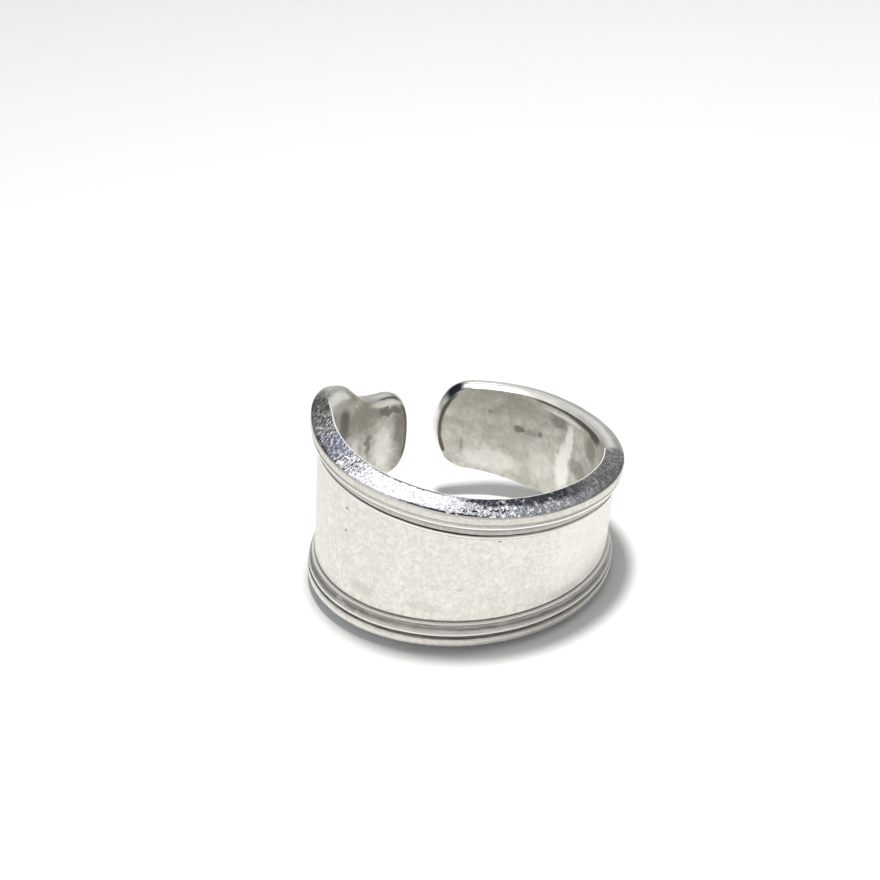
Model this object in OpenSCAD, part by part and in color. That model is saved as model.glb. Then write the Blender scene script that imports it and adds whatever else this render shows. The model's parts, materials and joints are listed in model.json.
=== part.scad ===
// Spoon ring: a length of a silver spoon's handle, bent round into an open finger ring.
// Both edges carry a thread border round a plain panel. The band is widest on the left,
// has a shoulder and a short tail there, and narrows to a rounded end on the right.
// The ring lies on its lower edge as it would by itself, with its open ends at the back, +Y.
// Lengths are in millimetres. Angles are in degrees round from the front, -Y, positive to the right, +X.

/* [Hole and wall] */
// Radius of the finger hole
hole_r = 8.6; // [7.5:0.1:10.5]
// Thickness of the wall at the plain panel
panel_wall = 0.9; // [0.7:0.05:1.2]
// Height of the rim above the panel
rim_rise = 0.46; // [0.3:0.02:0.6]

/* [Rim] */
// How much higher the ground rim face is at the hole than at the outside
face_rise = 0.5; // [0.2:0.05:0.7]
// How far the smooth, rounded rim at the back bulges
round_rise = 0.24; // [0.1:0.02:0.4]
// Angle on the right where the upper ground rim face ends
upper_face_end = 64; // [55:1:100]
// Angle on the right where the lower ground rim face ends
lower_face_end = 84; // [55:1:100]

/* [Ends] */
// Angle of the rounded end on the right
narrow_end = 170.5; // [165:0.5:175]
// Length of the rounding at that end
narrow_round = 2.3; // [1.5:0.1:3]
// Angle of the tail's end on the left, counted to the left
tail_end = 174; // [168:0.5:175]
// Length of the rounding at the tail's end
tail_round = 1.9; // [1.2:0.1:2.5]

/* [Lying pose] */
// Tilt of the ring down to the right, where the band is narrow
lean = 5.87; // [3:0.01:8]
// Tilt of the ring down to the front
pitch = 3.53; // [1:0.01:5]

/* [Hidden] */

panel_r = hole_r + panel_wall;

// The band round the ring: half of its width at the outside of the rim, and the height of its middle
WIDTH_AT = 0;
HALF_WIDTH = 1;
MIDDLE = 2;
widths = [
    [-175, 2.84, -0.10],
    [-160, 2.92, -0.10],
    [-152, 3.25, -0.10],
    [-146, 3.90, -0.08],
    [-140, 4.80, -0.07],
    [-134, 5.30, -0.06],
    [-126, 5.72, -0.05],
    [-116, 5.92, -0.04],
    [-105, 5.80, -0.05],
    [-90, 5.60, -0.08],
    [-70, 5.40, -0.08],
    [-45, 5.10, -0.02],
    [-20, 4.76, 0.04],
    [5, 4.48, 0.17],
    [30, 4.24, 0.25],
    [55, 3.95, 0.15],
    [75, 3.86, -0.05],
    [100, 3.50, -0.04],
    [130, 3.42, -0.16],
    [155, 3.12, -0.10],
    [172, 2.90, -0.05]
];

// The thread border: distance in from the rim, and height above the panel
IN = 0;
OUT = 1;
border = [
    [0.00, 0.90],
    [0.10, 1.00],
    [0.28, 1.00],
    [0.42, 0.70],
    [0.52, 0.38],
    [0.66, 0.42],
    [0.74, 0.82],
    [0.84, 0.86],
    [0.96, 0.60],
    [1.18, 0.36],
    [1.38, 0.31],
    [1.47, 0.40],
    [1.56, 0.14],
    [1.62, -0.12],
    [1.70, 0.00]
];

// The rim between the border and the hole: part of the way across, and the rise there
// as a part of face_rise on the ground face and of round_rise on the rounded rim.
// The last row lies inside the hole, where it is cut away.
ACROSS = 0;
GROUND = 1;
ROUNDED = 2;
rim = [
    [0.30, 0.30, 0.80],
    [0.62, 0.62, 1.00],
    [1.00, 1.00, 0.30],
    [1.30, 0.40, -0.60]
];
// Width of the worn edge beside the hole
worn_edge = 0.05;

// Height of the plain outside above the panel at both ends, where the border has run out
plain_rise = 0.3;
// Angles over which the border runs out before each end
border_full = 148;
border_gone = 161;
// Angle over which the ground face turns into the rounded rim on the right
face_blend = 6;
// Angles over which it does so at the shoulder, on the upper and the lower edge
upper_shoulder_blend = [104, 126];
lower_shoulder_blend = [128, 142];

// Spacing of the cross-sections round the ring, and their number in each rounded end
section_step = 3.5;
end_sections = 7;
// Where the rounding of an end stops, in degrees of its quarter turn, short of a point
end_turn = 80;
// Squareness of the rounding: 2 is a plain ellipse, more is squarer
narrow_square = 2;
tail_square = 2.6;

function blend(x, from, to) =
    let (t = max(0, min(1, (x - from) / (to - from))))
    t * t * (3 - 2 * t);

// A smooth curve through one column of the width table
function slope(i, column) =
    let (a = widths[max(i - 1, 0)], b = widths[min(i + 1, len(widths) - 1)])
    (b[column] - a[column]) / (b[WIDTH_AT] - a[WIDTH_AT]);

function row_before(angle, i = 0) =
    i >= len(widths) - 2 || widths[i + 1][WIDTH_AT] >= angle ? i : row_before(angle, i + 1);

function along(angle, column) =
    let (
        i = row_before(angle),
        a = widths[i],
        b = widths[i + 1],
        span = b[WIDTH_AT] - a[WIDTH_AT],
        t = (angle - a[WIDTH_AT]) / span
    )
    (2 * t ^ 3 - 3 * t ^ 2 + 1) * a[column]
    + (t ^ 3 - 2 * t ^ 2 + t) * span * slope(i, column)
    + (3 * t ^ 2 - 2 * t ^ 3) * b[column]
    + (t ^ 3 - t ^ 2) * span * slope(i + 1, column);

function half_width(angle) = along(angle, HALF_WIDTH);

// 1 where the border is at full height, 0 where the outside is plain
function border_part(angle) = 1 - blend(abs(angle), border_full, border_gone);

// 1 on the ground rim face, 0 on the rounded rim
function ground_part(angle, up) =
    let (
        face_end = up > 0 ? upper_face_end : lower_face_end,
        shoulder = up > 0 ? upper_shoulder_blend : lower_shoulder_blend
    )
    1 - blend(angle, face_end, face_end + face_blend) - blend(-angle, shoulder[0], shoulder[1]);

// One place along the band: its angle, the angle that its width is read at,
// how far it is turned into the rounding of an end, and on which side
AT = 0;
READ_AT = 1;
TURN = 2;
SIDE = 3;
mid_r = hole_r + (panel_wall + rim_rise) / 2;
function arc_angle(length) = length / mid_r * 180 / PI;
body_from = -tail_end + arc_angle(tail_round);
body_to = narrow_end - arc_angle(narrow_round);
body_steps = ceil((body_to - body_from) / section_step);

function end_place(k, from, side, length) =
    let (turn = end_turn * k / end_sections, square = side > 0 ? narrow_square : tail_square)
    [from + side * arc_angle(length) * sin(turn) ^ (2 / square), from, turn, side];

places = concat(
    [for (k = [end_sections:-1:1]) end_place(k, body_from, -1, tail_round)],
    [for (k = [0:body_steps])
        let (angle = body_from + (body_to - body_from) * k / body_steps)
        [angle, angle, 0, 0]],
    [for (k = [1:end_sections]) end_place(k, body_to, 1, narrow_round)]
);

// The part of the full width that is left at a place in the rounding of an end
function narrowed(place) = cos(place[TURN]) ^ (2 / (place[SIDE] < 0 ? tail_square : narrow_square));

function ring_point(place, angle, r, z) = [r * sin(angle), -r * cos(angle), along(place[READ_AT], MIDDLE) + z];

// A point of the border at one place, on the upper edge for up = 1 and the lower for up = -1.
// Where the border has run out, its rows are spread evenly over the plain outside.
function border_point(place, k, up) =
    let (
        part = border_part(place[AT]),
        half = half_width(place[READ_AT]),
        rise = part * border[k][OUT] * rim_rise + (1 - part) * plain_rise,
        in = part * border[k][IN] + (1 - part) * half * k / len(border)
    )
    ring_point(place, place[AT], panel_r + rise, up * (half - in) * narrowed(place));

// A point of the rim at one place, which rises out of the band's outline
function rim_point(place, row, up) =
    let (
        ground = ground_part(place[AT], up),
        part = border_part(place[AT]),
        outer_r = panel_r + part * border[0][OUT] * rim_rise + (1 - part) * plain_rise,
        inner_r = hole_r + worn_edge,
        rise = ground * face_rise * row[GROUND] + (1 - ground) * round_rise * row[ROUNDED],
        angle = place[AT] + place[SIDE] * arc_angle(rise) * sin(place[TURN]),
        r = outer_r + (inner_r - outer_r) * row[ACROSS]
    )
    ring_point(place, angle, r, up * (half_width(place[READ_AT]) * narrowed(place) + rise * cos(place[TURN])));

// The middle of the panel, which carries no border
function panel_point(place) =
    ring_point(place, place[AT], panel_r + (1 - border_part(place[AT])) * plain_rise, 0);

// One closed cross-section: from the lower inside edge up the outside to the upper inside edge
function section(place) = concat(
    [for (k = [len(rim) - 1:-1:0]) rim_point(place, rim[k], -1)],
    [for (k = [0:len(border) - 1]) border_point(place, k, -1)],
    [panel_point(place)],
    [for (k = [len(border) - 1:-1:0]) border_point(place, k, 1)],
    [for (row = rim) rim_point(place, row, 1)]
);

sections = [for (place = places) section(place)];
count = len(sections[0]);
last = len(sections) - 1;

// The skin between neighbouring cross-sections, and the small face that closes each end
function skin() = [
    for (i = [0:last - 1], j = [0:count - 1])
        let (
            a = i * count + j,
            b = i * count + (j + 1) % count,
            c = b + count,
            d = a + count
        )
        for (face = [[a, b, c], [a, c, d]]) face
];

function end_face(i) =
    let (
        first = i * count,
        top = first + count - 1,
        rows = len(rim),
        pivot = top - rows + 1
    )
    concat(
        [for (k = [first + rows:pivot - 2]) [k, k + 1, pivot]],
        [[first + rows - 1, first + rows, pivot]],
        [for (j = [0:rows - 2])
            for (face = [[first + j, first + j + 1, top - j - 1], [first + j, top - j - 1, top - j]]) face]
    );

function reversed(faces) = [for (f = faces) [f[2], f[1], f[0]]];

skin_points = [for (s = sections) each s];
skin_faces = concat(skin(), reversed(end_face(0)), end_face(last));

// The pose: turned by lean about Y and pitch about X, then set down on z = 0 about the middle of its outline
function leaned(p) = [p.x * cos(lean) + p.z * sin(lean), p.y, p.z * cos(lean) - p.x * sin(lean)];
function pitched(p) = [p.x, p.y * cos(pitch) - p.z * sin(pitch), p.y * sin(pitch) + p.z * cos(pitch)];
function across(p) = norm([p.x, p.y]);
posed = [for (p = skin_points) if (across(p) > hole_r) pitched(leaned(p))];
low = [for (k = [0:2]) min([for (p = posed) p[k]])];
high = [for (k = [0:2]) max([for (p = posed) p[k]])];

module finger_hole() {
    deep = 4 * max([for (row = widths) row[HALF_WIDTH]]);
    cylinder(r = hole_r, h = deep, center = true, $fn = 180);
}

module band() {
    color("silver")
    translate([-(low.x + high.x) / 2, -(low.y + high.y) / 2, -low.z])
    rotate([pitch, 0, 0])
    rotate([0, lean, 0])
    difference() {
        polyhedron(skin_points, skin_faces, convexity = 8);
        finger_hole();
    }
}

band();
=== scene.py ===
import json
import math
from collections import namedtuple

import bmesh
import bpy
from mathutils import Matrix, Vector, kdtree, noise


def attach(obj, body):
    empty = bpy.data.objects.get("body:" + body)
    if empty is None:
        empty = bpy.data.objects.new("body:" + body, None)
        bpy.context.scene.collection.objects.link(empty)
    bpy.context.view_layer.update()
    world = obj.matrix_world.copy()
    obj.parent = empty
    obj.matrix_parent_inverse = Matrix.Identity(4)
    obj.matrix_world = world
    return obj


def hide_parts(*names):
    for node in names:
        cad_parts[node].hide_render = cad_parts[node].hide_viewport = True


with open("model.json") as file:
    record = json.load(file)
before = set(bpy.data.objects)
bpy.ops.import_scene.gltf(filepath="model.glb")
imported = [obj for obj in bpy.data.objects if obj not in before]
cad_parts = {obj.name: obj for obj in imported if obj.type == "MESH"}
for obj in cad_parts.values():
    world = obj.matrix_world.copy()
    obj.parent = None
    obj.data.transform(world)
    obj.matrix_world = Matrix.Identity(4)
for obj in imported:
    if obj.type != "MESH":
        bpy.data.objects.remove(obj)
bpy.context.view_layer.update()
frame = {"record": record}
finger_hole = next(mount for mount in frame["record"]["mounts"] if mount["name"] == "finger_hole")

# The band is made in millimetres round its own finger hole, and set down in metres at the end.
# Angles are in degrees round from the front, -Y, positive to the right, +X.
MM = 0.001
HOLE_R = finger_hole["dims"]["r_mm"]
# Thickness of the wall at the plain panel, and the height of the rim above the panel
PANEL_WALL = 0.9
RIM_RISE = 0.46
PANEL_R = HOLE_R + PANEL_WALL
MID_R = (HOLE_R + PANEL_R + RIM_RISE) / 2
# How much higher the ground rim face is at the hole than at the outside, and how far the rounded rim bulges
FACE_RISE = 0.5
ROUND_RISE = 0.24
# Height of the plain outside above the panel at both ends, where the border has run out
PLAIN_RISE = 0.3
# Width of the worn edge beside the hole
WORN_EDGE = 0.05

# The two edges of the band, and its two ends: the tail on the left and the narrow end on the right
UPPER, LOWER = 1, -1
TAIL, NARROW_END = -1, 1

# Where the ground rim face turns into the rounded rim: on the right, and at the shoulder on the left
FACE_END = {UPPER: (64, 70), LOWER: (84, 90)}
SHOULDER = {UPPER: (104, 126), LOWER: (128, 142)}
# Where the coarse grinding of the rim ends on the left
COARSE_END = (117, 127)
# Where the border runs out before each end
BORDER_RUN_OUT = (148, 161)

# Each rounded end: its angle, the length of its rounding and how square it is
ENDS = {TAIL: (-174, 1.9, 2.6), NARROW_END: (170.5, 2.3, 2.0)}
# Steps between cross-sections from one rounding to the other, and in each rounding
BODY_STEPS = 330
END_STEPS = 20

# Angle, half of the band's width at the outside of the rim, and the height of its middle
WIDTH_AT, HALF_WIDTH, MIDDLE = range(3)
WIDTHS = (
    (-175, 2.84, -0.10),
    (-160, 2.92, -0.10),
    (-152, 3.25, -0.10),
    (-146, 3.90, -0.08),
    (-140, 4.80, -0.07),
    (-134, 5.30, -0.06),
    (-126, 5.72, -0.05),
    (-116, 5.92, -0.04),
    (-105, 5.80, -0.05),
    (-90, 5.60, -0.08),
    (-70, 5.40, -0.08),
    (-45, 5.10, -0.02),
    (-20, 4.76, 0.04),
    (5, 4.48, 0.17),
    (30, 4.24, 0.25),
    (55, 3.95, 0.15),
    (75, 3.86, -0.05),
    (100, 3.50, -0.04),
    (130, 3.42, -0.16),
    (155, 3.12, -0.10),
    (172, 2.90, -0.05),
)

# The thread border: distance in from the rim, then height above the panel as a part of RIM_RISE, tarnish and
# wear, each along the upper and along the lower edge. The tarnish is the patina of the grooves and also
# painted shade in the creases that the ridges overhang. The wear is paler worn silver and also a painted
# highlight along the ridges.
INSET = 0
HEIGHT = {UPPER: 1, LOWER: 2}
TARNISH_AND_SHADE = {UPPER: 3, LOWER: 4}
WORN_AND_HIGHLIGHT = {UPPER: 5, LOWER: 6}
BORDER = (
    (0.000, 0.84, 0.84, 0.60, 0.60, 0.0, 0.0),
    (0.080, 0.97, 0.97, 0.14, 0.12, 0.0, 0.0),
    (0.240, 1.00, 1.00, 0.13, 0.10, 0.0, 0.3),
    (0.380, 1.00, 1.00, 0.13, 0.10, 0.0, 0.2),
    (0.440, 0.99, 0.95, 0.11, 0.18, 0.0, 0.0),
    (0.500, 0.96, 0.84, 0.06, 0.60, 0.0, 0.0),
    (0.560, 0.87, 0.54, 0.25, 1.05, 0.0, 0.0),
    (0.620, 0.76, 0.43, 0.50, 1.22, 0.0, 0.0),
    (0.680, 0.75, 0.43, 0.30, 1.22, 0.0, 0.0),
    (0.740, 0.86, 0.58, 0.00, 1.00, 0.9, 0.0),
    (0.790, 0.90, 0.85, 0.00, 0.15, 1.0, 0.8),
    (0.860, 0.90, 0.90, 0.00, 0.00, 1.0, 1.0),
    (0.915, 0.76, 0.88, 0.30, 0.00, 0.3, 1.0),
    (0.980, 0.58, 0.68, 0.60, 0.50, 0.0, 0.4),
    (1.120, 0.38, 0.42, 0.65, 0.97, 0.0, 0.0),
    (1.280, 0.30, 0.31, 0.55, 0.93, 0.0, 0.0),
    (1.400, 0.24, 0.29, 0.45, 0.86, 0.0, 0.0),
    (1.440, 0.17, 0.36, 0.62, 0.30, 0.0, 0.8),
    (1.495, 0.02, 0.43, 0.95, 0.00, 0.0, 1.0),
    (1.540, -0.08, 0.40, 1.00, 0.00, 0.0, 1.0),
    (1.568, -0.06, 0.24, 0.80, 0.00, 0.2, 1.0),
    (1.590, 0.08, -0.04, 0.00, 0.80, 1.0, 0.0),
    (1.620, 0.20, -0.11, 0.00, 1.00, 1.0, 0.0),
    (1.655, 0.24, -0.03, 0.00, 0.60, 1.0, 0.1),
    (1.710, 0.22, 0.02, 0.00, 0.00, 1.0, 0.0),
    (1.780, 0.06, 0.00, 0.20, 0.00, 0.0, 0.0),
    (1.860, 0.00, 0.00, 0.00, 0.00, 0.0, 0.0),
)
# Rows made from each row of the table
BORDER_FINENESS = 3
# How far in the fine groove and its ridge begin
FINE_GROOVE_INSET = 1.5
# Angles to the left at which the fine groove of the upper edge turns black, and how much blacker
# it is there than plain tarnish
BLACK_GROOVE = (10, 28)
BLACKER = 0.9
# Angles to the left at which the bead of the lower edge widens over its groove, and how far in
# it does so. There the groove's side is filled up nearly to a height, and is nearly free of tarnish.
WIDE_BEAD = (38, 62)
WIDE_BEAD_INSET = (0.43, 0.53)
WIDE_BEAD_HEIGHT = 0.95
BEAD_FILLED = 0.85
BEAD_CLEANED = 0.95

# The rim: part of the way across, and the rise there on the ground face and on the rounded rim
RIM = (
    (0.03, 0.02, 0.13),
    (0.08, 0.08, 0.30),
    (0.16, 0.16, 0.53),
    (0.30, 0.30, 0.80),
    (0.45, 0.45, 0.96),
    (0.62, 0.62, 1.00),
    (0.78, 0.78, 0.84),
    (0.90, 0.90, 0.57),
    (0.96, 0.965, 0.42),
    (0.99, 0.985, 0.33),
    (1.02, 0.96, 0.25),
)
# The rise at the edge of the hole, ground and rounded
HOLE_EDGE = (0.92, 0.18)
# Parts of the way across between which the ground face wears bright at the hole. This bright edge is worn
# silver and also a painted highlight.
BRIGHT_EDGE = (0.965, 0.99)
# Rows of the panel and of the finger side, as parts of the way from the middle to the edge
PANEL_ROWS = (0, 0.25, 0.5, 0.75, 0.92, 0.985)
FINGER_SIDE_ROWS = (1, 0.995, 0.98, 0.96, 0.93, 0.89, 0.84, 0.78, 0.7, 0.6, 0.4, 0.2, 0)

# The inside edge of the shoulder is worn off outwards: the angles to the left at which this begins
# and is full, and at which it fades and ends, how far out it reaches, and the parts of the finger
# side's height and of the way across the rim over which it grows
WEAR_BEGINS = (102, 118)
WEAR_ENDS = (136, 146)
WEAR_OUT = 0.28
WEAR_UP = (0.82, 1.0)
WEAR_ACROSS = (0.62, 1.0)

# Small unevenness from wear and from work by hand, as three waves with so many swings in a millimetre
SWAY = 0.45
RIPPLE = 1.3
CHATTER = 2.2
RIPPLE_START = Vector((7, 3, 1))
# How far sway and ripple move the outside and the finger side in and out
OUTSIDE_UNEVEN = (0.011, 0.005)
FINGER_SIDE_UNEVEN = (0.010, 0.008)
# How far ripple moves the border and the rim up and down, and chatter the ground face
BORDER_WANDER = 0.012
RIM_WANDER = 0.02
FACE_CHATTER = 0.004
# The lower rim has this part of the upper rim's unevenness
LOWER_RIM_CALM = 0.4
# The unevenness fades out over this length before each end
END_CALM = 0.9

# The finger side's lower edge counts as an end where it lies less than this far from the middle
END_HEIGHT = 1.8

# What the finishes read at each vertex: how tarnished it is, with painted crease shade, how worn, with
# painted highlight, whether it is shaded, how ground and coarse it is, and its distances from the hole's axis
# and from the finger side's edge
NOTES = ("tarnish", "worn", "shaded", "ground", "coarse", "radius", "from_edge")
# The finish of each part of the band, in the order of the mesh's materials
OUTSIDE, RIM_SIDE, FINGER_SIDE = range(3)
# Distances within which vertices are merged, after the mirror and where the ends close, and within
# which a vertex is level with the middle
SAME_AFTER_MIRROR = 1e-5
SAME_VERTEX = 1e-4
LEVEL = 1e-6

# One place along the band: its angle, the angle that its width is read at, its turn into
# a rounded end, the side of that end and the part of the width left there
Place = namedtuple("Place", "angle read_at turn side left")
# One row of the cross-section: the part of the band that it lies on, its values in that part's
# table, and on the border its place in the table
Row = namedtuple("Row", "part values number", defaults=(0,))


def blend(x, start, end):
    """0 before start, 1 after end, and smooth between."""
    t = max(0.0, min(1.0, (x - start) / (end - start)))
    return t * t * (3 - 2 * t)


def curve(a, b, slope_a, slope_b, t):
    """A smooth step from a to b that leaves at slope_a and arrives at slope_b."""
    return (
        (2 * t**3 - 3 * t**2 + 1) * a
        + (t**3 - 2 * t**2 + t) * slope_a
        + (3 * t**2 - 2 * t**3) * b
        + (t**3 - t**2) * slope_b
    )


def width_slope(i, column):
    """How steeply a column of WIDTHS changes at row i, for each degree."""
    a, b = WIDTHS[max(i - 1, 0)], WIDTHS[min(i + 1, len(WIDTHS) - 1)]
    return (b[column] - a[column]) / (b[WIDTH_AT] - a[WIDTH_AT])


def along(angle, column):
    """A smooth curve through one column of WIDTHS."""
    last = len(WIDTHS) - 2
    i = next((k for k in range(last) if WIDTHS[k + 1][WIDTH_AT] >= angle), last)
    a, b = WIDTHS[i], WIDTHS[i + 1]
    span = b[WIDTH_AT] - a[WIDTH_AT]
    slopes = [span * width_slope(k, column) for k in (i, i + 1)]
    return curve(a[column], b[column], *slopes, (angle - a[WIDTH_AT]) / span)


def arc_angle(length):
    return math.degrees(length / MID_R)


def arc_length(angle):
    return math.radians(angle) * MID_R


def on_circle(angle, r, z):
    """The point at an angle round from the front, a distance from the axis and a height."""
    turned = math.radians(angle)
    return Vector((r * math.sin(turned), -r * math.cos(turned), z))


def border_part(angle):
    """1 where the border is at full height, 0 where the outside is plain."""
    return 1 - blend(abs(angle), *BORDER_RUN_OUT)


def ground_part(angle, up):
    """1 on the ground rim face, 0 on the rounded rim."""
    return 1 - blend(angle, *FACE_END[up]) - blend(-angle, *SHOULDER[up])


def rounding(side, base):
    """The places in the rounding of one end, from the band outwards."""
    length, square = ENDS[side][1:]
    places = []
    for k in range(1, END_STEPS + 1):
        turn = math.radians(90 * k / END_STEPS)
        angle = base + side * arc_angle(length) * math.sin(turn) ** (2 / square)
        left = max(0.0, math.cos(turn)) ** (2 / square) if k < END_STEPS else 0.0
        places.append(Place(angle, base, turn, side, left))
    return places


def band_places():
    """The place of each cross-section, from the tail's end to the narrow end."""
    start, finish = [ENDS[side][0] - side * arc_angle(ENDS[side][1]) for side in (TAIL, NARROW_END)]
    angles = [start + (finish - start) * k / BODY_STEPS for k in range(BODY_STEPS + 1)]
    body = [Place(angle, angle, 0.0, 0, 1.0) for angle in angles]
    return rounding(TAIL, start)[::-1] + body + rounding(NARROW_END, finish)


def border_rows():
    """The border's table, made finer along a smooth curve."""
    rows = []
    last = len(BORDER) - 1
    for k in range(last):
        before, a, b, after = BORDER[max(k - 1, 0)], BORDER[k], BORDER[k + 1], BORDER[min(k + 2, last)]
        slopes = [((b[c] - before[c]) / 2, (after[c] - a[c]) / 2) for c in range(len(a))]
        for step in range(BORDER_FINENESS):
            t = step / BORDER_FINENESS
            values = [curve(a[c], b[c], *slopes[c], t) for c in range(len(a))]
            rows.append(Row("border", values, k + t))
    return rows + [Row("border", BORDER[-1], last)]


def profile():
    """The rows of half a cross-section, from the middle of the panel over the rim
    to the middle of the finger side."""
    rows = [Row("panel", (part_way,)) for part_way in PANEL_ROWS]
    rows += reversed(border_rows())
    rows += [Row("rim", values) for values in RIM]
    rows += [Row("finger side", (part_way,)) for part_way in FINGER_SIDE_ROWS]
    return rows


def bead_widening(row, angle, up):
    """1 where the bead of the lower edge covers a row of the groove's side."""
    covered = up == LOWER and WIDE_BEAD_INSET[0] < row.values[INSET] < WIDE_BEAD_INSET[1]
    return blend(-angle, *WIDE_BEAD) if covered else 0.0


def row_place(row, place, up):
    """Angle, radius and height of one row of the cross-section at one place."""
    half = along(place.read_at, HALF_WIDTH)
    border = border_part(place.angle)
    plain_r = PANEL_R + (1 - border) * PLAIN_RISE
    if row.part == "panel":
        inset = border * BORDER[-1][INSET] + (1 - border) * half * (len(BORDER) - 1) / len(BORDER)
        return place.angle, plain_r, row.values[0] * (half - inset) * place.left
    if row.part == "border":
        inset = border * row.values[INSET] + (1 - border) * half * row.number / len(BORDER)
        height = row.values[HEIGHT[up]]
        height += (WIDE_BEAD_HEIGHT - height) * BEAD_FILLED * bead_widening(row, place.angle, up)
        return place.angle, plain_r + border * height * RIM_RISE, (half - inset) * place.left
    ground = ground_part(place.angle, up)
    ground_rise, rounded_rise = HOLE_EDGE if row.part == "finger side" else row.values[1:]
    rise = ground * FACE_RISE * ground_rise + (1 - ground) * ROUND_RISE * rounded_rise
    angle = place.angle + place.side * arc_angle(rise) * math.sin(place.turn)
    z = half * place.left + rise * math.cos(place.turn)
    if row.part == "finger side":
        return angle, HOLE_R, row.values[0] * z
    outer_r = PANEL_R + border * BORDER[0][HEIGHT[up]] * RIM_RISE + (1 - border) * PLAIN_RISE
    return angle, outer_r + (HOLE_R + WORN_EDGE - outer_r) * row.values[0], z


def shoulder_wear(row, angle, up):
    """How far out the shoulder's inside edge is worn at one row of the cross-section."""
    if up == LOWER or row.part not in ("rim", "finger side"):
        return 0.0
    there = blend(-angle, *WEAR_BEGINS) - blend(-angle, *WEAR_ENDS)
    reached = blend(row.values[0], *(WEAR_ACROSS if row.part == "rim" else WEAR_UP))
    return WEAR_OUT * max(0.0, there) * reached


def hand_made(part, angle, r, z, ground):
    """Radius and height after small unevenness from wear and from grinding by hand."""
    where = on_circle(angle, r, z)
    sway = noise.noise(where * SWAY)
    ripple = noise.noise(where * RIPPLE + RIPPLE_START)
    if part == "rim":
        chatter = noise.noise(where * CHATTER)
        calm = 1 if z > 0 else LOWER_RIM_CALM
        return r, z + (RIM_WANDER * ripple + FACE_CHATTER * ground * chatter) * calm
    if part == "border":
        z += BORDER_WANDER * ripple * border_part(angle)
    by_sway, by_ripple = FINGER_SIDE_UNEVEN if part == "finger side" else OUTSIDE_UNEVEN
    return r + by_sway * sway + by_ripple * ripple, z


def edge_points(places):
    """A search tree of the finger side's upper edge and both ends, as distance round and height."""
    edge_row = Row("finger side", (1,))
    found = []
    for place in places:
        for up in (UPPER, LOWER):
            angle, _, z = row_place(edge_row, place, up)
            if up == UPPER or z < END_HEIGHT:
                found.append((arc_length(angle), up * z, 0))
    tree = kdtree.KDTree(len(found))
    for number, point in enumerate(found):
        tree.insert(point, number)
    tree.balance()
    return tree


def wear_notes(row, place, angle, up):
    """How ground and coarse one row of the cross-section is, how tarnished with painted crease shade, how
    worn with painted highlight, and whether it is shaded.
    """
    ground = ground_part(place.angle, up)
    coarse = 1 - blend(-angle, *COARSE_END) - blend(angle, *FACE_END[up])
    notes = {"ground": ground, "coarse": max(ground, coarse)}
    if row.part == "border":
        border = border_part(place.angle)
        tarnish = row.values[TARNISH_AND_SHADE[up]] * (1 - BEAD_CLEANED * bead_widening(row, place.angle, up))
        upper_fine_groove = up == UPPER and row.values[INSET] > FINE_GROOVE_INSET
        if upper_fine_groove:
            tarnish *= 1 + BLACKER * blend(-place.angle, *BLACK_GROOVE)
        notes["tarnish"] = max(0.0, tarnish * border)
        notes["worn"] = max(0.0, row.values[WORN_AND_HIGHLIGHT[up]] * border)
        notes["shaded"] = float(upper_fine_groove)
    elif row.part == "rim":
        notes["worn"] = blend(row.values[0], *BRIGHT_EDGE) * ground
    return notes


def spun_profile(rows, places):
    """Half a cross-section, spun round the hole in even steps and mirrored to the lower half."""
    first, last = places[0].angle, places[-1].angle
    steps = len(places) - 1
    upright = Place(0, 0, 0, 0, 1)
    bm = bmesh.new()
    row_number = bm.verts.layers.int.new("row")
    chain = []
    for number, row in enumerate(rows):
        _, r, z = row_place(row, upright, UPPER)
        vert = bm.verts.new(on_circle(first, r, z))
        vert[row_number] = number
        chain.append(vert)
    for a, b in zip(chain, chain[1:]):
        bm.edges.new((a, b))
    bmesh.ops.spin(
        bm, geom=bm.verts[:] + bm.edges[:], cent=(0, 0, 0), axis=(0, 0, 1),
        angle=math.radians(last - first), steps=steps, use_duplicate=False,
    )
    everything = bm.verts[:] + bm.edges[:] + bm.faces[:]
    bmesh.ops.mirror(bm, geom=everything, axis="Z", merge_dist=SAME_AFTER_MIRROR)
    # Spin gives the faces in another order in each run, so they are sorted by their vertices
    bm.verts.index_update()
    bm.faces.sort(key=lambda face: sum(vert.index for vert in face.verts))
    return bm


def draw_band(bm, rows, places):
    """Draws the spun profile to the band's widths, and notes on each vertex what the finishes read there."""
    row_number = bm.verts.layers.int["row"]
    layers = {name: bm.verts.layers.float.new(name) for name in NOTES}
    spot = bm.verts.layers.float_vector.new("spot")
    first, last = places[0].angle, places[-1].angle
    step = math.radians(last - first) / (len(places) - 1)
    edge = edge_points(places)
    for vert in bm.verts:
        turned = math.atan2(vert.co.x, -vert.co.y) - math.radians(first) + step / 2
        place = places[int(turned % math.tau / step)]
        up = UPPER if vert.co.z > -LEVEL else LOWER
        row = rows[vert[row_number]]
        angle, r, z = row_place(row, place, up)
        r += shoulder_wear(row, angle, up)
        z *= up
        notes = wear_notes(row, place, angle, up)
        settled = blend(arc_length(min(last - place.angle, place.angle - first)), 0, END_CALM)
        bent_r, bent_z = hand_made(row.part, angle, r, z, notes["ground"])
        r += (bent_r - r) * settled
        z += (bent_z - z) * settled
        notes["radius"] = r
        if row.part == "finger side":
            notes["from_edge"] = edge.find((arc_length(angle), z, 0))[2]
        for name, value in notes.items():
            vert[layers[name]] = value
        vert[spot] = (arc_length(angle), z, 0)
        vert.co = on_circle(angle, r, z + along(place.read_at, MIDDLE))


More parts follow.
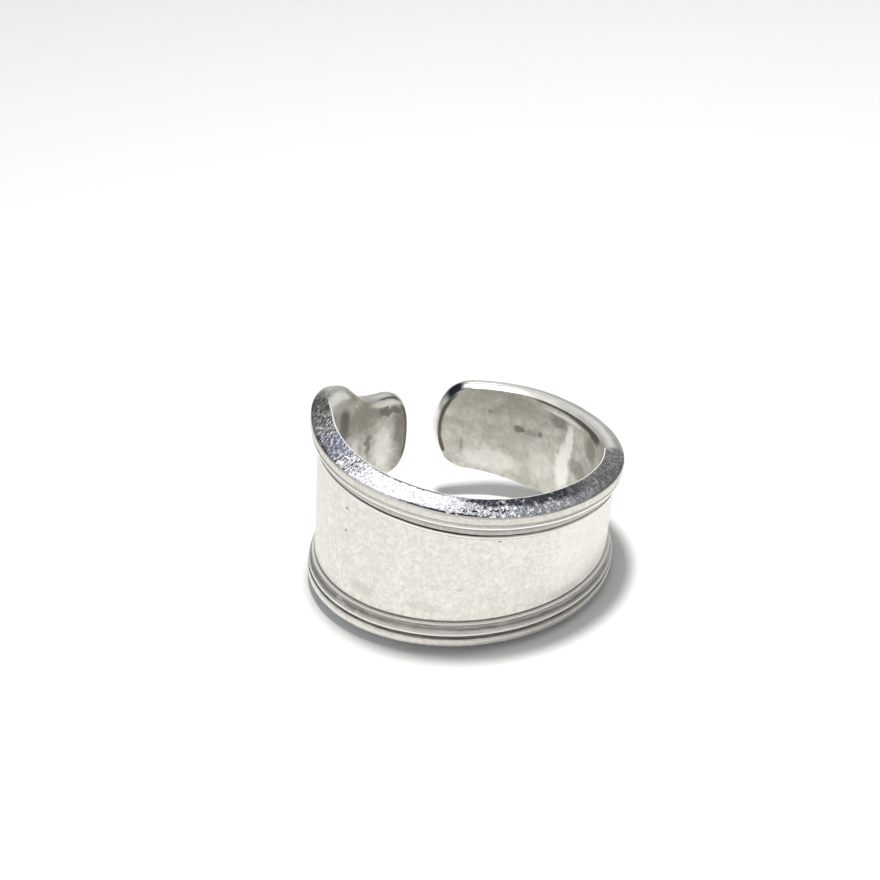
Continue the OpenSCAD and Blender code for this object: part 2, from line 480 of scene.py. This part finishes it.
def part_faces(bm, rows):
    """Gives each face the finish of its rows, and a UV map of the distance round and the height."""
    row_number = bm.verts.layers.int["row"]
    spot = bm.verts.layers.float_vector["spot"]
    surface = bm.loops.layers.uv.new("surface")
    rim_rows = [number for number, row in enumerate(rows) if row.part == "rim"]
    for face in bm.faces:
        for loop in face.loops:
            loop[surface].uv = loop.vert[spot][:2]
        numbers = [vert[row_number] for vert in face.verts]
        if max(numbers) < rim_rows[0]:
            face.material_index = OUTSIDE
        elif min(numbers) > rim_rows[-1]:
            face.material_index = FINGER_SIDE
        else:
            face.material_index = RIM_SIDE
        face.smooth = True


def spun_band():
    """The band: half a cross-section spun round the hole, mirrored and drawn to its widths."""
    rows, places = profile(), band_places()
    bm = spun_profile(rows, places)
    draw_band(bm, rows, places)
    part_faces(bm, rows)
    bmesh.ops.remove_doubles(bm, verts=bm.verts, dist=SAME_VERTEX)
    bmesh.ops.recalc_face_normals(bm, faces=bm.faces)
    return bm


def set_down(bm):
    """Turns the band into its lying pose and moves it onto the finger hole of the solid."""
    x, y, z = finger_hole["axis"]
    lean, pitch = math.asin(x), math.atan2(-y, z)
    pose = Matrix.Rotation(pitch, 4, "X") @ Matrix.Rotation(lean, 4, "Y")
    place = Matrix.Translation(finger_hole["pos_m"]) @ pose @ Matrix.Scale(MM, 4)
    bmesh.ops.transform(bm, matrix=place, verts=bm.verts)


class Nodes:
    """The nodes of a material, a lamp or the world, and the calls that add to them."""

    def __init__(self, tree):
        self.tree = tree

    def put(self, socket, value):
        """Links a socket to another node's, or sets it to a number, a colour or a vector."""
        if isinstance(value, bpy.types.NodeSocket):
            self.tree.links.new(value, socket)
        elif socket.type == "RGBA":
            socket.default_value = (*value, 1)
        else:
            socket.default_value = value

    def add(self, kind, inputs=None, out=0, **settings):
        """Adds a node, and returns one of its outputs."""
        node = self.tree.nodes.new(kind)
        for name, value in settings.items():
            setattr(node, name, value)
        for name, value in (inputs or {}).items():
            self.put(node.inputs[name], value)
        return node.outputs[out]


# The part of a mark's size that has its full strength
MARK_CORE = 0.45


class Finish(Nodes):
    """One finish of the silver. Places and lengths in it are in millimetres."""

    def __init__(self, name, colour, roughness):
        self.material = bpy.data.materials.new(name)
        self.material.use_nodes = True
        super().__init__(self.material.node_tree)
        self.metal = self.tree.nodes["Principled BSDF"]
        self.put(self.metal.inputs["Metallic"], 1.0)
        self.put(self.metal.inputs["Base Color"], colour)
        self.put(self.metal.inputs["Roughness"], roughness)

    def attribute(self, name):
        return self.add("ShaderNodeAttribute", attribute_name=name, out="Fac")

    def surface(self):
        """Distance round and height on the band."""
        return self.add("ShaderNodeUVMap", uv_map="surface")

    def across(self, attribute):
        """Distance round the band, and an attribute in place of the height."""
        arc = self.add("ShaderNodeSeparateXYZ", {0: self.surface()}, out="X")
        return self.add("ShaderNodeCombineXYZ", {0: arc, 1: self.attribute(attribute)})

    def space(self):
        """The place in space."""
        where = self.add("ShaderNodeTexCoord", out="Object")
        return self.vector("MULTIPLY", where, (1 / MM, 1 / MM, 1 / MM))

    def upward(self, low, high):
        """1 where the surface faces up, 0 where it faces out or down."""
        normal = self.add("ShaderNodeNewGeometry", out="Normal")
        height = self.add("ShaderNodeSeparateXYZ", {0: normal}, out="Z")
        return self.spread(height, low, high, smooth=True)

    def vector(self, operation, a, b):
        return self.add("ShaderNodeVectorMath", {0: a, 1: b}, operation=operation)

    def maths(self, operation, a, b, clamp=False):
        return self.add("ShaderNodeMath", {0: a, 1: b}, operation=operation, use_clamp=clamp)

    def times(self, a, b):
        return self.maths("MULTIPLY", a, b)

    def minus(self, a, b, clamp=False):
        return self.maths("SUBTRACT", a, b, clamp)

    def larger(self, a, b):
        return self.maths("MAXIMUM", a, b)

    def pattern(self, where, scale, detail, rough):
        """A cloudy pattern, with so many swings in a millimetre."""
        inputs = {"Vector": where, "Scale": scale, "Detail": detail, "Roughness": rough}
        return self.add("ShaderNodeTexNoise", inputs)

    def spread(self, value, low, high, to_low=0.0, to_high=1.0, smooth=False):
        """Spreads the stretch from low to high of a value over the stretch from to_low to to_high."""
        inputs = {0: value, 1: low, 2: high, 3: to_low, 4: to_high}
        kind = "SMOOTHSTEP" if smooth else "LINEAR"
        return self.add("ShaderNodeMapRange", inputs, interpolation_type=kind)

    def mix(self, part, a, b):
        return self.add("ShaderNodeMix", {0: part, 6: a, 7: b}, out=2, data_type="RGBA")

    def layered(self, colour, layers):
        """A colour under layers of others. Each is a pattern, the values at which it begins and is full,
        its strength there and its colour."""
        for pattern, begins, full, strength, over in layers:
            colour = self.mix(self.spread(pattern, begins, full, 0.0, strength), colour, over)
        return colour

    def marks(self, rows, ragged, where=None):
        """All marks of a table of (angle, height, length, width, strength), with ragged edges.
        A mark is an oval that fades out from MARK_CORE of its size to its edge."""
        wander = self.pattern(self.surface(), 1.1 + 0.4 / ragged, 3.0, 0.5)
        wander = self.times(self.minus(wander, 0.5), ragged * 2)
        wander = self.add("ShaderNodeCombineXYZ", {0: wander, 1: wander})
        where = self.vector("ADD", where or self.surface(), wander)
        total = None
        for angle, height, length, width, strength in rows:
            off = self.vector("SUBTRACT", where, (arc_length(angle), height, 0))
            off = self.vector("MULTIPLY", off, (1 / length, 1 / width, 0))
            off = self.add("ShaderNodeVectorMath", {0: off}, out="Value", operation="LENGTH")
            mark = self.spread(off, MARK_CORE, 1.0, strength, 0.0, smooth=True)
            total = mark if total is None else self.maths("ADD", total, mark, clamp=True)
        return total

    def bumps(self, *rows):
        """Relief from rows of (pattern, depth, strength), one on another."""
        for pattern, depth, strength in rows:
            inputs = {"Height": pattern, "Distance": depth * MM, "Strength": strength}
            if self.metal.inputs["Normal"].is_linked:
                inputs["Normal"] = self.metal.inputs["Normal"].links[0].from_socket
            self.put(self.metal.inputs["Normal"], self.add("ShaderNodeBump", inputs))

    def done(self, colour, roughness, scuffed):
        """Joins up the finish. Where the metal is scuffed, it scatters light instead of mirroring it."""
        self.put(self.metal.inputs["Base Color"], colour)
        self.put(self.metal.inputs["Roughness"], roughness)
        self.put(self.metal.inputs["Metallic"], self.minus(1.0, scuffed))
        return self.material


# How far up the outside and the rim have to face before scuffed silver catches the light, and the same inside
CATCHES_LIGHT = (0.15, 0.5)
INSIDE_CATCHES_LIGHT = (0.1, 0.4)

# Marks are given as angle, height, half length and half width in millimetres, and strength.
PITS = (
    (-71.2, 2.55, 0.15, 0.10, 0.9),
    (-71.4, 0.93, 0.17, 0.10, 0.6),
    (-9.4, 2.67, 0.17, 0.08, 0.6),
)
FAINT_MARKS = (
    (-22.4, -0.75, 0.35, 0.10, 0.5),
    (-11.1, -1.48, 0.35, 0.10, 0.4),
    (-39.6, 0.79, 0.35, 0.12, 0.4),
    (-62.0, -2.60, 1.30, 0.60, 0.4),
    (-35.0, -2.40, 1.60, 0.50, 0.3),
    (20.0, -2.30, 1.80, 0.45, 0.3),
)
# Where the panel is painted paler, a painted reflection of the bright table
PAINTED_PALE_PANEL = (
    (34.0, 0.0, 5.0, 6.0, 0.30),
)
# Where the tarnish of the lower cove is rubbed off
RUBBED_COVE = (
    (-71.0, -4.36, 0.85, 0.22, 0.42),
    (-60.5, -4.44, 1.20, 0.18, 0.34),
)
# Colours of the outside
OUTSIDE_SILVER = (0.8, 0.785, 0.73)
OUTSIDE_DULL = (0.75, 0.73, 0.675)
OUTSIDE_CLEAR = (0.86, 0.845, 0.79)
OUTSIDE_MOTTLE = (0.66, 0.645, 0.60)
DARK_SPECKS = (0.60, 0.575, 0.51)
BRIGHT_SPECKS = (0.94, 0.925, 0.87)
OUTSIDE_GRAIN = (0.45, 0.42, 0.37)
PANEL_REFLECTION_PALE = (0.97, 0.955, 0.90)
FAINT_GREY = (0.5, 0.47, 0.42)
RUBBED_AND_HIGHLIGHT_BRIGHT = (1.0, 0.99, 0.96)
TARNISH_AND_CREASE_SHADE = (0.13, 0.115, 0.10)
PIT_BROWN = (0.14, 0.125, 0.11)
BLACK_TARNISH_AND_SHADE = (0.02, 0.018, 0.014)


def outside_silver():
    """Satin silver of the panel and the border, with tarnish and painted crease shade in the grooves, paler
    worn ridges that are also painted highlights, a painted paler patch and fine scratches.
    """
    finish = Finish("outside_silver", OUTSIDE_SILVER, 0.35)
    space = finish.space()
    cloud = finish.pattern(space, 0.7, 5.0, 0.65)
    mottle = finish.pattern(space, 2.4, 4.0, 0.7)
    speckle = finish.pattern(space, 4.2, 2.0, 0.6)
    grain = finish.pattern(space, 9.0, 3.0, 0.6)
    brushed = finish.pattern(finish.vector("MULTIPLY", finish.surface(), (0.8, 14, 1)), 1.0, 3.0, 0.6)
    silver = finish.mix(finish.spread(cloud, 0.35, 0.65), OUTSIDE_DULL, OUTSIDE_CLEAR)
    silver = finish.layered(silver, (
        (mottle, 0.40, 0.64, 0.60, OUTSIDE_MOTTLE),
        (speckle, 0.50, 0.68, 0.43, DARK_SPECKS),
        (speckle, 0.47, 0.30, 0.55, BRIGHT_SPECKS),
        (grain, 0.40, 0.70, 0.08, OUTSIDE_GRAIN),
    ))
    # Painted reflection: a paler patch on the panel
    silver = finish.mix(finish.marks(PAINTED_PALE_PANEL, 0.5), silver, PANEL_REFLECTION_PALE)
    silver = finish.mix(finish.marks(FAINT_MARKS, 0.2), silver, FAINT_GREY)
    rubbed = finish.marks(RUBBED_COVE, 0.3)
    worn = finish.larger(finish.attribute("worn"), rubbed)
    # Worn ridges and the rubbed cove are paler. On the ridges this paler colour is also a painted highlight.
    silver = finish.mix(worn, silver, RUBBED_AND_HIGHLIGHT_BRIGHT)
    # Tarnish over 1 is black. Like the rest of the tarnish, it is also painted crease shade.
    tarnish = finish.times(finish.attribute("tarnish"), finish.minus(1.0, rubbed))
    black = finish.spread(tarnish, 1.0, 1.4)
    tarnish = finish.times(finish.maths("MINIMUM", tarnish, 1.0), finish.spread(cloud, 0.3, 0.7, 0.8, 1.0))
    streaked = finish.times(tarnish, finish.spread(brushed, 0.35, 0.65, 0.7, 1.0))
    pits = finish.marks(PITS, 0.05)
    colour = finish.mix(streaked, silver, TARNISH_AND_CREASE_SHADE)
    colour = finish.mix(pits, colour, PIT_BROWN)
    colour = finish.mix(black, colour, BLACK_TARNISH_AND_SHADE)
    finish.bumps(
        (cloud, 0.05, 0.5),
        (mottle, 0.02, 0.5),
        (grain, 0.003, 0.5),
        (brushed, 0.004, 0.5),
        (finish.minus(1.0, pits), 0.04, 0.8),
    )
    # Under the upper border the lamp doesn't reach the fine ridge, so there it stays a mirror
    scuffed = finish.times(worn, finish.upward(*CATCHES_LIGHT))
    scuffed = finish.minus(scuffed, finish.attribute("shaded"), clamp=True)
    return finish.done(colour, finish.spread(cloud, 0.3, 0.7, 0.32, 0.42), scuffed)


# Where the ground faces are darkest, painted as dark reflection, where they have a violet tinge, and where
# they are pitted
PAINTED_DARK_REFLECTIONS = (
    (-113, 6.0, 4.0, 3.0, 1.0),
    (52, 4.5, 5.5, 3.0, 0.7),
    (75, -4.5, 3.0, 3.0, 0.8),
)
VIOLET_GRINDING = (
    (-84, 5.5, 2.0, 3.0, 0.9),
    (2, 5.5, 2.6, 3.0, 0.5),
)
PITTED_GRINDING = (
    (-14, 5.5, 3.4, 3.0, 1.0),
    (-72, 5.5, 1.8, 3.0, 0.9),
    (12, 5.5, 3.0, 3.0, 0.5),
)
# Where painted glints, small white flecks, lie between the scratches
PAINTED_GLINTS = (
    (-13, 5.5, 3.0, 3.0, 1.0),
    (6, 5.5, 2.6, 3.0, 0.6),
    (-71, 5.5, 1.6, 3.0, 1.0),
    (-97, 5.5, 2.4, 3.0, 0.3),
)
# Where the grinding is smoothest
SMOOTH_GRINDING = (
    (-43, 5.5, 4.4, 3.0, 0.75),
)
# In the tables from here to DULL_RIM, the second value of a mark is its radius.
# A dark, mottled band beside the hole
DARK_BAND_BY_HOLE = (
    (-12, 8.82, 2.6, 0.45, 1.0),
    (5, 8.88, 2.8, 0.55, 1.0),
    (20, 8.98, 2.4, 0.55, 0.8),
)
# Black, chipped lines along the edges of the upper ground face
CHIPPED_EDGES = (
    (-30, 9.88, 4.6, 0.20, 1.0),
    (-89, 9.90, 1.9, 0.20, 0.9),
    (-48, 8.72, 5.0, 0.09, 0.9),
)
# Radii between which the outermost edge of the rim is chipped all the way round
OUTERMOST_EDGE = (9.80, 9.90)
# Blue-black marks on the rounded rim at both ends, partly stains and partly painted dark reflection along the
# inner edge, and polished strips at the narrow end, which are smoother and also painted paler as a highlight
RIM_STAINS_AND_REFLECTION = (
    (163.6, 8.92, 0.78, 0.80, 1.0),
    (158.5, 8.62, 0.50, 0.16, 0.6),
    (-165.0, 8.74, 1.40, 0.11, 0.75),
    (-160.0, 9.15, 1.80, 0.06, 0.5),
    (-173.3, 9.15, 0.45, 0.90, 0.4),
)
POLISHED_HIGHLIGHT_RIM = (
    (150.5, 8.90, 2.0, 0.60, 1.0),
    (142.0, 8.78, 2.3, 0.34, 1.0),
    (169.0, 9.10, 0.60, 0.80, 0.8),
)
# Where the rounded rim is dull, beyond the polished strips
DULL_RIM = (
    (116.0, 9.20, 4.0, 1.50, 0.5),
)
# Colours of the rounded rim
RIM_SILVER = (0.8, 0.79, 0.77)
RIM_DULL = (0.74, 0.73, 0.685)
RIM_CLEAR = (0.88, 0.87, 0.83)
DRAWN_GREY = (0.45, 0.44, 0.42)
DULL_GREY = (0.60, 0.59, 0.56)
POLISHED_AND_HIGHLIGHT_PALE = (0.90, 0.91, 0.89)
BLUE_BLACK = (0.03, 0.035, 0.05)
# Colours of the ground faces
SCRATCH_DARK = (0.40, 0.41, 0.44)
SCRATCH_BRIGHT = (0.92, 0.93, 0.96)
VIOLET_GREY = (0.42, 0.44, 0.54)
DARK_REFLECTION_GREY = (0.27, 0.26, 0.235)
INNER_BLACK = (0.09, 0.095, 0.12)
PIT_BLACK = (0.03, 0.03, 0.032)
GLINT_WHITE = (0.98, 0.98, 0.98)
WORN_AND_HIGHLIGHT_WHITE = (0.96, 0.95, 0.92)


def rounded_rim(finish, across, cloud, drawn, smooth, polished_and_highlight):
    """The colour of the rounded rim: pale, with drawn lines, dull stretches, polished stretches painted paler
    as highlights, and stains that are partly painted dark reflection.
    """
    silver = finish.mix(finish.spread(cloud, 0.35, 0.65), RIM_DULL, RIM_CLEAR)
    silver = finish.layered(silver, ((drawn, 0.54, 0.64, 0.35, DRAWN_GREY),))
    silver = finish.mix(finish.times(finish.marks(DULL_RIM, 0.1, across), smooth), silver, DULL_GREY)
    silver = finish.mix(polished_and_highlight, silver, POLISHED_AND_HIGHLIGHT_PALE)
    return finish.mix(finish.times(finish.marks(RIM_STAINS_AND_REFLECTION, 0.05, across), smooth), silver, BLUE_BLACK)


def ground_face(finish, across, lumps, flecks, inner):
    """The colour of the ground faces: grey and scratched, with painted dark reflections, violet, pitted and
    chipped places, and a dark band beside the hole.
    """
    grey = finish.mix(finish.spread(flecks, 0.38, 0.62), SCRATCH_DARK, SCRATCH_BRIGHT)
    grey = finish.mix(finish.marks(VIOLET_GRINDING, 0.4), grey, VIOLET_GREY)
    # Painted dark reflection on the ground faces
    dark = finish.times(finish.marks(PAINTED_DARK_REFLECTIONS, 0.5), finish.spread(lumps, 0.35, 0.65, 0.85, 0.35))
    grey = finish.mix(dark, grey, DARK_REFLECTION_GREY)
    grey = finish.mix(inner, grey, INNER_BLACK)
    pits = finish.times(finish.spread(flecks, 0.54, 0.60), finish.marks(PITTED_GRINDING, 0.5))
    radius = finish.add("ShaderNodeSeparateXYZ", {0: across}, out="Y")
    outermost = finish.spread(radius, *OUTERMOST_EDGE)
    pits = finish.larger(pits, finish.times(outermost, finish.spread(lumps, 0.42, 0.52)))
    chipped = finish.times(finish.marks(CHIPPED_EDGES, 0.12, across), finish.spread(lumps, 0.32, 0.44))
    return finish.mix(finish.larger(pits, chipped), grey, PIT_BLACK)


def rim_silver():
    """The rim: coarse ground metal on the flat faces, smooth and pale where it is rounded."""
    finish = Finish("rim_silver", RIM_SILVER, 0.25)
    space, across = finish.space(), finish.across("radius")
    coarse = finish.attribute("coarse")
    worn = finish.attribute("worn")
    smooth = finish.minus(1.0, coarse)
    lumps = finish.pattern(space, 2.3, 3.0, 0.65)
    flecks = finish.pattern(space, 4.6, 2.0, 0.65)
    cloud = finish.pattern(space, 0.6, 3.0, 0.6)
    scattered = finish.pattern(space, 3.4, 2.0, 0.6)
    drawn = finish.pattern(finish.vector("MULTIPLY", across, (0.35, 7, 1)), 1.0, 3.0, 0.6)
    polished_and_highlight = finish.times(finish.marks(POLISHED_HIGHLIGHT_RIM, 0.05, across), smooth)
    inner = finish.marks(DARK_BAND_BY_HOLE, 0.2, across)
    inner = finish.times(inner, finish.spread(lumps, 0.36, 0.5, 0.3, 1.0))
    # Painted glints: white flecks among the scratches
    glints = finish.times(finish.marks(PAINTED_GLINTS, 0.4), finish.spread(scattered, 0.55, 0.59))
    glints = finish.times(glints, finish.minus(coarse, inner, clamp=True))
    silver = rounded_rim(finish, across, cloud, drawn, smooth, polished_and_highlight)
    grey = finish.mix(glints, ground_face(finish, across, lumps, flecks, inner), GLINT_WHITE)
    # The worn edge at the hole is painted near white: partly wear, partly a painted highlight.
    colour = finish.mix(worn, finish.mix(coarse, silver, grey), WORN_AND_HIGHLIGHT_WHITE)
    roughness = finish.minus(finish.spread(cloud, 0.3, 0.7, 0.42, 0.50), finish.times(polished_and_highlight, 0.30))
    roughness = finish.minus(roughness, finish.times(coarse, 0.30))
    rough_ground = finish.times(coarse, finish.minus(1.0, finish.marks(SMOOTH_GRINDING, 0.5)))
    finish.bumps(
        (lumps, 0.060, rough_ground),
        (flecks, 0.035, rough_ground),
        (cloud, 0.03, 0.5),
        (drawn, 0.006, smooth),
    )
    scuffed = finish.times(finish.larger(worn, glints), finish.upward(*CATCHES_LIGHT))
    return finish.done(colour, roughness, scuffed)


# Marks on the finger side: dark patches that are partly stains and partly painted shadow and dark reflection,
# handling smudges, pale patches that are painted reflections of the bright table, and a painted glint
DARK_STAINS_AND_SHADE = (
    (140.0, 2.4, 4.8, 1.3, 0.28),
    (112.0, 2.5, 1.1, 0.8, 0.65),
    (96.0, -0.1, 1.6, 0.9, 0.55),
    (87.0, 2.2, 1.2, 1.1, 0.60),
    (128.0, 0.6, 2.2, 1.0, 0.20),
    (-150.0, 2.3, 2.4, 1.5, 0.40),
    (-152.5, 0.1, 0.45, 1.2, 0.8),
    (-165.5, 2.05, 1.35, 0.45, 0.95),
    (-172.3, 0.4, 1.15, 2.4, 0.85),
    (-172.3, -2.2, 1.05, 1.4, 0.60),
    (-133.3, 2.8, 1.15, 2.0, 1.0),
    (-110.0, 1.0, 3.0, 3.0, 0.3),
)
SMUDGES = (
    (132.9, 0.75, 0.60, 0.36, 0.7),
    (122.0, 0.85, 0.28, 0.26, 0.7),
    (127.4, 0.70, 0.90, 0.30, 0.35),
    (159.3, -1.25, 0.16, 0.70, 0.4),
    (147.3, 1.60, 0.22, 0.18, 0.4),
)
PAINTED_PALE_REFLECTIONS = (
    (107.6, -0.8, 1.0, 2.5, 1.0),
    (104.3, 1.4, 0.50, 1.8, 1.0),
    (145.0, -2.2, 3.2, 1.0, 0.55),
    (120.0, -1.5, 1.6, 1.2, 0.35),
    (-161.3, -0.6, 0.95, 2.2, 0.55),
    (-143.4, 0.3, 0.60, 1.0, 0.5),
)
PAINTED_GLINT_SPOTS = (
    (-143.8, 3.54, 0.13, 0.13, 1.0),
)
# Dark marks and bright strips along the upper edge and the ends of the finger side. The dark marks are partly
# stains and partly painted dark reflection, and the bright strips are painted highlights. Here the second
# value is the distance from the edge.
EDGE_STAINS_AND_REFLECTION = (
    (112.0, 0.06, 3.4, 0.20, 0.9),
    (94.0, 0.12, 2.8, 0.36, 1.0),
    (84.0, 0.24, 1.4, 0.60, 1.0),
    (167.0, 0.13, 1.0, 0.24, 1.0),
    (-173.0, 0.10, 0.5, 0.14, 0.7),
)
PAINTED_EDGE_HIGHLIGHTS = (
    (108.0, 0.52, 2.6, 0.20, 0.9),
    (-125.0, 0.30, 3.8, 1.50, 0.9),
    (-161.5, 0.20, 1.7, 0.36, 0.8),
)
# Colours of the finger side
INSIDE_SILVER = (0.7, 0.68, 0.62)
INSIDE_DULL = (0.55, 0.53, 0.475)
INSIDE_CLEAR = (0.76, 0.74, 0.68)
INSIDE_MOTTLE = (0.38, 0.365, 0.325)
INSIDE_GRAIN = (0.30, 0.28, 0.24)
REFLECTION_PALE = (0.96, 0.945, 0.885)
STAIN_AND_SHADE_DARK = (0.22, 0.205, 0.18)
SMUDGE_DARK = (0.16, 0.15, 0.135)
HIGHLIGHT_PALE = (0.93, 0.92, 0.88)
STAIN_AND_REFLECTION_DARK = (0.13, 0.12, 0.105)
GLINT_SPOT_WHITE = (1.0, 1.0, 0.97)


def finger_side_silver():
    """The inside of the band: mottled, stained and handled silver, with painted shadow, painted reflections
    and painted highlights.
    """
    finish = Finish("finger_side_silver", INSIDE_SILVER, 0.38)
    space, edge = finish.space(), finish.across("from_edge")
    cloud = finish.pattern(space, 0.45, 4.0, 0.6)
    mottle = finish.pattern(space, 1.6, 4.0, 0.65)
    grain = finish.pattern(space, 7.0, 3.0, 0.6)
    silver = finish.mix(finish.spread(cloud, 0.35, 0.65), INSIDE_DULL, INSIDE_CLEAR)
    silver = finish.layered(silver, (
        (mottle, 0.40, 0.66, 0.50, INSIDE_MOTTLE),
        (grain, 0.30, 0.70, 0.12, INSIDE_GRAIN),
    ))
    painted_highlight = finish.marks(PAINTED_EDGE_HIGHLIGHTS, 0.05, edge)
    for marks, colour in (
        (finish.marks(PAINTED_PALE_REFLECTIONS, 0.45), REFLECTION_PALE),
        (finish.marks(DARK_STAINS_AND_SHADE, 0.5), STAIN_AND_SHADE_DARK),
        (finish.marks(SMUDGES, 0.12), SMUDGE_DARK),
        (painted_highlight, HIGHLIGHT_PALE),
        (finish.marks(EDGE_STAINS_AND_REFLECTION, 0.05, edge), STAIN_AND_REFLECTION_DARK),
        (finish.marks(PAINTED_GLINT_SPOTS, 0.02), GLINT_SPOT_WHITE),
    ):
        silver = finish.mix(marks, silver, colour)
    finish.bumps(
        (cloud, 0.08, 0.5),
        (mottle, 0.02, 0.5),
        (grain, 0.004, 0.6),
    )
    # Painted highlights: where they face up, the bright strips also scatter light
    scuffed = finish.times(painted_highlight, finish.upward(*INSIDE_CATCHES_LIGHT))
    return finish.done(silver, finish.spread(mottle, 0.3, 0.7, 0.34, 0.46), scuffed)


def placed(name, bm, *materials):
    """An object at the origin from a finished shape and its materials."""
    mesh = bpy.data.meshes.new(name)
    bm.to_mesh(mesh)
    bm.free()
    for material in materials:
        mesh.materials.append(material)
    piece = bpy.data.objects.new(name, mesh)
    bpy.context.scene.collection.objects.link(piece)
    return piece


def make_band():
    """The silver band, in place of the solid one."""
    bm = spun_band()
    set_down(bm)
    band = placed("silver_band", bm, outside_silver(), rim_silver(), finger_side_silver())
    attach(band, "root")
    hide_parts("band")


# The table top under the ring
FLOOR_RADIUS = 1.5
FLOOR_SIDES = 96
FLOOR_COLOUR = (0.9, 0.9, 0.895, 1)


def pale_floor():
    """A plain pale table top."""
    bm = bmesh.new()
    bmesh.ops.create_circle(bm, cap_ends=True, segments=FLOOR_SIDES, radius=FLOOR_RADIUS)
    material = bpy.data.materials.new("pale_floor")
    material.use_nodes = True
    shader = material.node_tree.nodes["Principled BSDF"]
    shader.inputs["Base Color"].default_value = FLOOR_COLOUR
    shader.inputs["Roughness"].default_value = 0.7
    shader.inputs["Specular IOR Level"].default_value = 0.2
    placed("pale_floor", bm, material)


# The lamp close above the ring: its place, the light it gives to a surface that faces it, and its radius
LAMP_PLACE = (0.0027, -0.0005, 0.130)
LAMP_LIGHT = 2.62
LAMP_RADIUS = 0.0091
# What the silver mirrors: dim surroundings, and round lights given as direction, angle, softness
# and brightness. One is overhead, two are in front, one is behind, and a faint one is on each side.
SURROUNDINGS = 0.18
STUDIO_LIGHTS = (
    ((0.026, 0.291, 0.956), 19, 5, 1.60),
    ((-0.533, -0.308, 0.788), 38, 10, 0.65),
    ((0.299, -0.641, 0.707), 26, 8, 0.60),
    ((0.394, 0.741, 0.545), 15, 3, 1.05),
    ((0.621, 0.166, 0.766), 26, 8, 0.30),
    ((-0.919, -0.334, 0.208), 66, 22, 0.32),
)
# The even light that reaches the table, also in the shadow
SHADE_LIGHT = 0.42
WHITE = (1, 1, 1)


def lamp():
    """A small lamp whose light doesn't weaken with distance, so that the table stays evenly pale.
    The silver mirrors the studio, and not the lamp."""
    light = bpy.data.lights.new("lamp", "POINT")
    light.shadow_soft_size = LAMP_RADIUS
    light.energy = 4 * math.pi * LAMP_LIGHT
    light.use_nodes = True
    nodes = Nodes(light.node_tree)
    constant = nodes.add("ShaderNodeLightFalloff", {"Strength": 1.0}, out="Constant")
    nodes.put(light.node_tree.nodes["Emission"].inputs["Strength"], constant)
    holder = bpy.data.objects.new("lamp", light)
    holder.location = LAMP_PLACE
    holder.visible_glossy = False
    bpy.context.scene.collection.objects.link(holder)


def studio():
    """The surroundings that the silver mirrors, their even light on the table, and a white background."""
    world = bpy.data.worlds.new("studio")
    bpy.context.scene.world = world
    world.use_nodes = True
    nodes = Nodes(world.node_tree)
    direction = nodes.add("ShaderNodeTexCoord", out="Generated")
    mirrored = SURROUNDINGS
    for towards, wide, soft, bright in STUDIO_LIGHTS:
        facing = {0: direction, 1: towards}
        facing = nodes.add("ShaderNodeVectorMath", facing, out="Value", operation="DOT_PRODUCT")
        edges = [math.cos(math.radians(wide + side * soft)) for side in (1, -1)]
        lit = {"Value": facing, "From Min": edges[0], "From Max": edges[1], "To Max": bright}
        lit = nodes.add("ShaderNodeMapRange", lit, interpolation_type="SMOOTHSTEP")
        mirrored = nodes.add("ShaderNodeMath", {0: lit, 1: mirrored})
    on_table = nodes.add("ShaderNodeLightPath", out="Is Diffuse Ray")
    strength = nodes.add("ShaderNodeMix", {"Factor": on_table, "A": mirrored, "B": SHADE_LIGHT})
    surroundings = nodes.add("ShaderNodeBackground", {"Color": WHITE, "Strength": strength})
    backdrop = nodes.add("ShaderNodeBackground", {"Color": WHITE})
    in_picture = nodes.add("ShaderNodeLightPath", out="Is Camera Ray")
    chosen = nodes.add("ShaderNodeMixShader", {0: in_picture, 1: surroundings, 2: backdrop})
    nodes.put(world.node_tree.nodes["World Output"].inputs["Surface"], chosen)
    bpy.context.scene.view_settings.view_transform = "Standard"


# The camera of the photograph: its direction from the ring, roll and distance. It faces the middle
# of the finger hole, which lies at MIDDLE_PIXEL of a square picture.
CAMERA_AZIMUTH = 19.357
CAMERA_ELEVATION = 31.421
CAMERA_ROLL = -3.501
CAMERA_DISTANCE = 0.110
CAMERA_REACH = (0.005, 10)
SENSOR_WIDTH = 36
FOCAL_PIXELS = 1703.05
PICTURE = 880
MIDDLE_PIXEL = (463.81, 494.47)


def photo_camera():
    azimuth, elevation, roll = (math.radians(a) for a in (CAMERA_AZIMUTH, CAMERA_ELEVATION, CAMERA_ROLL))
    away = Matrix.Rotation(-azimuth, 3, "Z") @ Matrix.Rotation(-elevation, 3, "X") @ Vector((0, -1, 0))
    data = bpy.data.cameras.new("photo_camera")
    data.sensor_width = SENSOR_WIDTH
    data.lens = SENSOR_WIDTH * FOCAL_PIXELS / PICTURE
    data.shift_x = (PICTURE / 2 - MIDDLE_PIXEL[0]) / PICTURE
    data.shift_y = (MIDDLE_PIXEL[1] - PICTURE / 2) / PICTURE
    data.clip_start, data.clip_end = CAMERA_REACH
    camera = bpy.data.objects.new("photo_camera", data)
    eye = Vector(finger_hole["pos_m"]) + away * CAMERA_DISTANCE
    facing = (-away).to_track_quat("-Z", "Y").to_matrix().to_4x4()
    camera.matrix_world = Matrix.Translation(eye) @ facing @ Matrix.Rotation(roll, 4, "Z")
    bpy.context.scene.collection.objects.link(camera)
    bpy.context.scene.camera = camera


photo_camera()
studio()
lamp()
pale_floor()
make_band()
